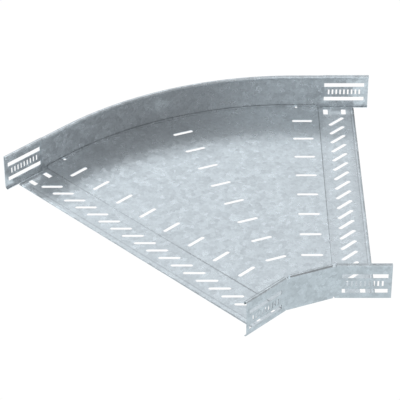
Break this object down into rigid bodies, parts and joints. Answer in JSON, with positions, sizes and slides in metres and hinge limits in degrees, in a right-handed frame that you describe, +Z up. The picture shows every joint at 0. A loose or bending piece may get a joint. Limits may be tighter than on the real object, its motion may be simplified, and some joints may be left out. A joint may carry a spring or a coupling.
{
  "type": "cable tray bend",
  "caption": "Flat horizontal bend for a perforated cable tray: slotted sheet floor, curved outer wall, folded inner wall and slotted lugs that join the trays at both ends.",
  "frame": {"origin": "middle of the part's plan box, on the level surface that its end lips rest on", "axes": "+Z up, +Y along the bend's bisector towards the outer wall, +X across the bend"},
  "size_m": [0.5966, 0.5396, 0.0598],
  "materials": {
    "floor_zinc": "galvanised",
    "outer_wall_zinc": "galvanised",
    "inner_wall_zinc": "galvanised"
  },
  "bodies": {
    "root": {"floor_plate": "floor_zinc", "outer_wall": "outer_wall_zinc", "inner_wall": "inner_wall_zinc"}
  },
  "joints": []
}
